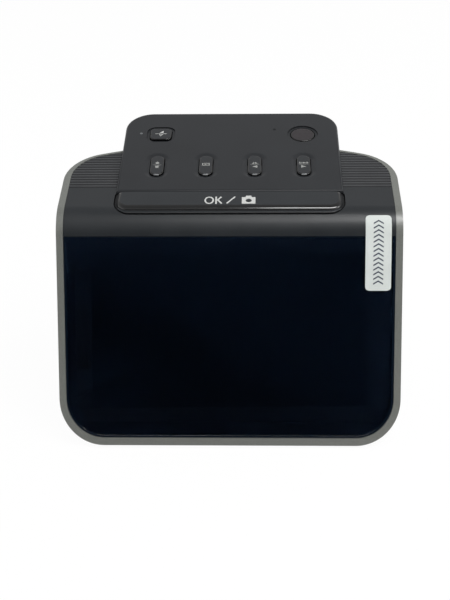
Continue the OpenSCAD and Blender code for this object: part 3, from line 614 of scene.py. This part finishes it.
STEM_OVERLAP = 0.02
stems = joined("ok_bar")
bmesh.ops.bisect_plane(
    stems, geom=stems.verts[:] + stems.edges[:] + stems.faces[:], clear_outer=True,
    plane_co=TOP @ Vector((0, 0, BAR_BOTTOM + STEM_OVERLAP)), plane_no=TOP.to_3x3() @ Vector((0, 0, 1)),
)
bmesh.ops.holes_fill(stems, edges=[e for e in stems.edges if e.is_boundary])
finished(stems, "bar_key_stems", [key_abs], "ok_bar")

# %% [markdown]
# The smaller keys are caps with a rounded lip. Each is dressed from its own part, so the
# flange and the stem under the plate stay with it. The lip is coloured polished black as painted
# shade. On the pill keys the middle of its front end has a small bright spot. A spot that small
# would need a lamp of its own, so it is a painted highlight instead: a paler patch of colour.

# %% Keys
KEY_ROUND = 0.42
PILL_LENGTH = 14.2
GLINT_HALF_WIDTH, GLINT_LENGTH = 1.1, 0.42
KEYS = {"square_button": "square_key", "power_button": "power_key"}
PILLS = {f"pill_button_{i}": f"pill_key_{i}" for i in range(1, 5)}
KEYS.update(PILLS)
for node, body in KEYS.items():
    key = joined(node)
    lowest, highest = box_on(TOP, node)
    cap_top = highest.z
    cap_front = (lowest.y + highest.y) / 2 - PILL_LENGTH / 2
    cap_middle = (lowest.x + highest.x) / 2
    round_off(key, sharp_edges(key, TOP, lambda spot: spot.z > cap_top - SKIN), KEY_ROUND * MM, 4)
    for face in key.faces:
        spot = flat_top @ face.calc_center_median()
        # The lip is coloured polished black as painted shade.
        is_lip = spot.z < cap_top - TOP_FACE
        is_front = abs(spot.x - cap_middle) < GLINT_HALF_WIDTH and spot.y < cap_front + GLINT_LENGTH
        # A pale patch on the front of each pill key's lip is a painted highlight.
        is_glint = is_lip and is_front and spot.z > cap_top - KEY_ROUND and node in PILLS
        face.material_index = is_lip + is_glint
    is_power = node == "power_button"
    cap = power_abs if is_power else key_abs
    finished(key, node + "_cap", [cap, lip_shade_abs, glint_abs], body, [node])

# %% [markdown]
# The marks are pad-printed in pale grey ink: the confirming word, a stroke and a camera on the
# bar, and small pictures on the keys. A mark is drawn as closed outlines, filled, and given
# the thickness of a layer of ink. It sits on its key and goes down with it.

# %% Ink marks
INK, SUNK = 0.03, 0.005


def ink(bm, *outlines):
    """Fills outlines, in millimetres, as one flat mark; an outline inside another is a hole."""
    edges = []
    for outline in outlines:
        corners = [bm.verts.new((x, y, 0)) for x, y in outline]
        edges += [bm.edges.new(pair) for pair in zip(corners, corners[1:] + corners[:1])]
    bmesh.ops.triangle_fill(bm, edges=edges, use_beauty=True, use_dissolve=True)


def disc(x, y, half_width, half_height, steps=28):
    """An outline of a circle or an oval."""
    turns = [2 * math.pi * i / steps for i in range(steps)]
    return [(x + half_width * math.cos(t), y + half_height * math.sin(t)) for t in turns]


def box(left, bottom, right, top):
    """An outline of a rectangle."""
    return [(left, bottom), (right, bottom), (right, top), (left, top)]


def stroke(start, end, width):
    """An outline of a straight pen stroke between two points."""
    run = (Vector(end) - Vector(start)).normalized() * width / 2
    side = Vector((-run.y, run.x))
    return [tuple(Vector(p) + s) for p, s in ((start, side), (start, -side), (end, -side), (end, side))]


def printed(bm, name, node, material, body, across=0, along=0):
    """Gives the marks their ink's thickness and lays them on the middle of a key."""
    bmesh.ops.recalc_face_normals(bm, faces=bm.faces)
    for face in bm.faces:
        if face.normal.z < 0:
            face.normal_flip()
    up = bmesh.ops.extrude_face_region(bm, geom=bm.faces[:])["geom"]
    bmesh.ops.translate(bm, verts=[v for v in up if isinstance(v, bmesh.types.BMVert)], vec=(0, 0, INK))
    bmesh.ops.recalc_face_normals(bm, faces=bm.faces)
    lowest, highest = box_on(TOP, node)
    middle = (lowest + highest) / 2
    laid(bm, TOP, middle.x + across, middle.y + along, highest.z - SUNK)
    return finished(bm, name, [material], body)


bar_marks = bmesh.new()
ink(bar_marks, disc(-8.05, 2, 1.95, 2.5), disc(-8.05, 2, 1.3, 1.85))
ink(bar_marks, box(-5.6, -0.5, -4.95, 4.5))
ink(bar_marks, stroke((-4.95, 1.75), (-3.2, 4.35), 0.65))
ink(bar_marks, stroke((-4.6, 2.35), (-3.0, -0.35), 0.65))
ink(bar_marks, stroke((-1.0, -0.2), (2.4, 4.5), 0.62))
ink(bar_marks, [
    (5.1, -0.4), (10.6, -0.4), (10.6, 4.1), (9.2, 4.1), (8.9, 5.1), (6.9, 5.1), (6.5, 4.1), (5.1, 4.1),
], disc(7.85, 1.8, 1.2, 1.2))
printed(bar_marks, "bar_marks", "ok_bar", pale_ink, "ok_bar", 0, -2.0)


def key_marks(number, *marks):
    """Prints marks on one pill key; each mark is a list of outlines."""
    bm = bmesh.new()
    for outlines in marks:
        ink(bm, *outlines)
    printed(bm, f"pill_{number}_marks", f"pill_button_{number}", dim_ink, f"pill_key_{number}")


key_marks(
    1,
    [[(-0.65, 0.8), (0.65, 0.8), (0.65, 1.6), (1.0, 1.6), (0, 2.5), (-1.0, 1.6), (-0.65, 1.6)]],
    [box(-1.9, 0.05, 1.9, 0.2)],
    [[(-0.6, -2.1), (0.6, -2.1), (0.8, -0.75), (-0.8, -0.75)]],
    [box(-1.0, -0.6, 1.0, -0.4)],
)
key_marks(
    2,
    [box(-1.6, -0.5, 1.6, 1.35), box(-1.2, -0.1, 1.2, 0.95)],
    [[(-0.9, 0.0), (0.5, 0.0), (-0.2, 0.75)]],
)
key_marks(
    3,
    [[(-1.3, 0.7), (-0.15, 0.7), (-0.15, 2.1)]],
    [[(1.3, 0.7), (0.15, 0.7), (0.15, 2.1)]],
    [box(-1.9, 0.1, 1.9, 0.25)],
    [[(-1.1, -1.35), (1.1, -2.3), (1.1, -0.4)]],
)
key_marks(
    4,
    [box(-1.9, 0.8, -0.85, 1.9), box(-1.6, 1.1, -1.15, 1.6)],
    [disc(0, 1.35, 0.55, 0.55, 12)],
    [box(0.85, 0.8, 1.9, 1.9), box(1.15, 1.1, 1.6, 1.6)],
    [box(-1.9, 0.1, 1.9, 0.25)],
    [[(1.1, -1.35), (-1.1, -0.4), (-1.1, -2.3)]],
)
square_marks = bmesh.new()
ink(square_marks, box(-2.5, -0.1, 2.5, 0.1))
ink(square_marks, [(-0.75, 0.6), (1.05, 0.6), (1.05, 2.3)])
ink(
    square_marks,
    [(-0.75, -0.6), (1.05, -0.6), (-0.2, -2.0)],
    [(-0.35, -0.8), (0.6, -0.8), (-0.15, -1.6)],
)
printed(square_marks, "square_marks", "square_button", pale_ink, "square_key")

# %% [markdown]
# The window is a plain sheet whose edge is ground to a small chamfer. A clear protective film
# still covers it, with a white tab that runs up over the window's edge and sticks to the band.

# %% Window sheet and film
WINDOW_CHAMFER = 0.25
window = joined("screen_window")
round_off(window, sharp_edges(window, FACE, lambda spot: True), WINDOW_CHAMFER * MM, 2)
finished(window, "window_sheet", [window_acrylic], "housing", ["screen_window"])

# %% [markdown]
# The tab is a strip of label stock with round corners. It is a flat grid at first: its end
# rows are drawn in to round the corners, then every point is carried up the face and bent over
# the shoulder, and last the strip is given its thickness. Slate chevrons show which way to pull.

# %% Pull tab
TAB_WIDTH, TAB_LENGTH, TAB_THICKNESS = 10.3, 30.4, 0.14
TAB_CORNER = 1.6
TAB_LIFT = 0.03
tab_low, tab_high = box_on(FACE, "peel_tab")
tab_middle = tab_high.x - TAB_WIDTH / 2
tab = bmesh.new()
bmesh.ops.create_grid(tab, x_segments=6, y_segments=96, size=0.5)
for v in tab.verts:
    to_end = TAB_LENGTH * (0.5 - abs(v.co.y))
    missing = max(0, TAB_CORNER - to_end)
    drawn_in = TAB_CORNER - math.sqrt(max(0, TAB_CORNER ** 2 - missing ** 2))
    across = v.co.x * (TAB_WIDTH - 2 * drawn_in)
    v.co = over_the_shoulder(tab_middle + across, tab_low.y + TAB_LENGTH * (0.5 + v.co.y), TAB_LIFT)
bmesh.ops.recalc_face_normals(tab, faces=tab.faces)
bmesh.ops.solidify(tab, geom=tab.faces[:], thickness=-TAB_THICKNESS * MM)
finished(tab, "pull_tab", [label_stock], "housing", ["peel_tab"])

chevrons = bmesh.new()
CHEVRON_HALF, CHEVRON_RISE, CHEVRON_STROKE = 2.0, 1.2, 0.6
CHEVRONS, CHEVRON_START, CHEVRON_PITCH = 14, 2.4, 1.86
CHEVRON_INK = 0.01
CHEVRON_LIFT = TAB_LIFT + TAB_THICKNESS + CHEVRON_INK
for i in range(CHEVRONS):
    foot = CHEVRON_START + CHEVRON_PITCH * i
    ink(chevrons, [
        (-CHEVRON_HALF, foot), (0, foot + CHEVRON_RISE), (CHEVRON_HALF, foot),
        (CHEVRON_HALF, foot + CHEVRON_STROKE), (0, foot + CHEVRON_RISE + CHEVRON_STROKE),
        (-CHEVRON_HALF, foot + CHEVRON_STROKE),
    ])
bmesh.ops.recalc_face_normals(chevrons, faces=chevrons.faces)
for v in chevrons.verts:
    v.co = over_the_shoulder(tab_middle + v.co.x, tab_low.y + v.co.y, CHEVRON_LIFT)
bmesh.ops.recalc_face_normals(chevrons, faces=chevrons.faces)
bmesh.ops.solidify(chevrons, geom=chevrons.faces[:], thickness=CHEVRON_INK * MM)
finished(chevrons, "pull_tab_chevrons", [slate_ink], "housing")

# %% [markdown]
# Parts that are right as they are keep their construction mesh and only get a finish.

# %% Finishes for the remaining parts
FINISHES = {
    black_and_shade_abs: ["screen_frame", "window_adhesive", "film_stage_lower", "film_stage_upper", "lens_tower",
                "lens_barrel", "status_light_pipe", "key_switches", "board_chips", "image_sensor"],
    white_abs: ["diffuser", "light_box", "led_board"],
    rubber: ["rubber_feet"],
    plated_steel: ["frame_screws", "head_screws", "key_board_screws", "main_board_screws",
                   "stage_screws", "sensor_screws", "base_screws", "card_socket", "usb_inlet",
                   "hdmi_socket"],
    solder_mask: ["key_board", "main_board", "sensor_board"],
    amber_film: ["lcd_flex", "sensor_flex", "key_flex", "led_flex"],
    brown_resin: ["ok_plungers", "square_plunger", "power_plunger", "pill_plunger_1", "pill_plunger_2",
                  "pill_plunger_3", "pill_plunger_4"],
    led_resin: ["indicator_leds", "backlight_leds"],
    cream_nylon: ["board_sockets"],
    display_glass: ["lcd_panel"],
    lens_glass: ["lens_elements"],
    polyester: ["protective_film"],
    pipe_abs: ["power_light_pipe"],
}
for material, nodes in FINISHES.items():
    for node in nodes:
        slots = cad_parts[node].data.materials
        slots.clear()
        slots.append(material)
print("parts finished in place:", sum(len(nodes) for nodes in FINISHES.values()))

# %% [markdown]
# The studio: a pale sheet to stand on and a softbox above, to the right and a little in front.
# It draws the soft bright band along the shoulder and the spark on the bar key's roll, which
# starts where the softbox ends. A weaker one stands lower on the right, and one more on each
# side, hidden from reflections, lights the rim's edges. A dark card stands behind the camera,
# so that the window mirrors black. The background is white to the eye and, near the horizon, in
# reflections; higher up the studio's ceiling is darker, which gives glossy parts some shape.

# %% Studio
FLOOR_SIZE = 6.0
FLOOR_GLOW = 0.96
HORIZON, CEILING = 1.0, 0.35
CEILING_FROM, CEILING_FULL = 0.3, 0.95
AMBIENT = 0.5


def sheet(name, width, depth, matrix, material):
    """A flat rectangle that belongs to the studio."""
    bm = bmesh.new()
    bmesh.ops.create_grid(bm, x_segments=1, y_segments=1, size=0.5)
    bmesh.ops.scale(bm, vec=(width, depth, 1), verts=bm.verts)
    bmesh.ops.transform(bm, matrix=matrix, verts=bm.verts)
    mesh = bpy.data.meshes.new(name)
    bm.to_mesh(mesh)
    bm.free()
    mesh.materials.append(material)
    holder = bpy.data.objects.new(name, mesh)
    bpy.context.scene.collection.objects.link(holder)
    return holder


paper, tree, shader, place = start_material("white_paper")
tree.links.new(mix(tree, noise(tree, place, 2, 3.0), "#f4f4f4", "#fafafa"), shader.inputs["Base Color"])
shader.inputs["Roughness"].default_value = 0.9
shader.inputs["Specular IOR Level"].default_value = 0.1
rays = add(tree, "ShaderNodeLightPath", {}).outputs
glow = add(tree, "ShaderNodeEmission", {"Strength": 1.0}).outputs[0]
lifted = add(tree, "ShaderNodeMath", {
    0: rays["Is Camera Ray"], 1: FLOOR_GLOW,
}, operation="MULTIPLY").outputs[0]
mixed = add(tree, "ShaderNodeMixShader", {0: lifted, 1: shader.outputs[0], 2: glow}).outputs[0]
tree.links.new(mixed, tree.nodes["Material Output"].inputs["Surface"])
sheet("floor", FLOOR_SIZE, FLOOR_SIZE, Matrix.Identity(4), paper)

felt = moulded("black_felt", "#020202", "#040404", 0.95, gloss=0.0)
upright = Matrix.Translation((0, -1.1, 0.42)) @ Matrix.Rotation(math.pi / 2, 4, "X")
card = sheet("dark_card", 2.4, 0.9, upright, felt)
card.visible_camera = card.visible_diffuse = card.visible_shadow = False


def softbox(name, at, size, power, faces=(0, 0, 0.08)):
    """A rectangular lamp that faces the middle of the scanner, or another place."""
    lamp = bpy.data.lights.new(name, "AREA")
    lamp.shape = "RECTANGLE"
    lamp.size, lamp.size_y = size
    lamp.energy = power
    holder = bpy.data.objects.new(name, lamp)
    bpy.context.scene.collection.objects.link(holder)
    aim = Vector(faces) - Vector(at)
    holder.matrix_world = Matrix.Translation(at) @ aim.to_track_quat("-Z", "Y").to_matrix().to_4x4()
    return holder


softbox("key_softbox", (0.33, -0.3, 0.92), (0.62, 0.3), 6.0, (0.33, 0, 0.08))
softbox("side_softbox", (0.9, -0.25, 0.45), (0.3, 0.5), 1.6)
for side in (-1, 1):
    rim_lamp = softbox("rim_softbox", (side * 0.85, 0.35, 0.36), (0.5, 0.4), 2.0)
    rim_lamp.visible_glossy = False

world = bpy.data.worlds.new("studio")
bpy.context.scene.world = world
world.use_nodes = True
tree = world.node_tree
sky = tree.nodes["Background"]
sky.inputs["Color"].default_value = linear("#ffffff")
rays = add(tree, "ShaderNodeLightPath", {}).outputs
seen = add(tree, "ShaderNodeMath", {
    0: rays["Is Camera Ray"], 1: rays["Is Transmission Ray"],
}, operation="MAXIMUM")
mirrored = add(tree, "ShaderNodeMath", {
    0: seen.outputs[0], 1: rays["Is Glossy Ray"],
}, operation="MAXIMUM")
aim = add(tree, "ShaderNodeTexCoord", {}).outputs["Generated"]
height = add(tree, "ShaderNodeSeparateXYZ", {"Vector": aim}).outputs[2]
ceiling = spread(tree, height, CEILING_FROM, CEILING_FULL, HORIZON, CEILING)
shown = add(tree, "ShaderNodeMix", {0: seen.outputs[0], 2: ceiling, 3: 1.0}).outputs[0]
level = add(tree, "ShaderNodeMix", {0: mirrored.outputs[0], 2: AMBIENT, 3: shown}).outputs[0]
tree.links.new(level, sky.inputs["Strength"])
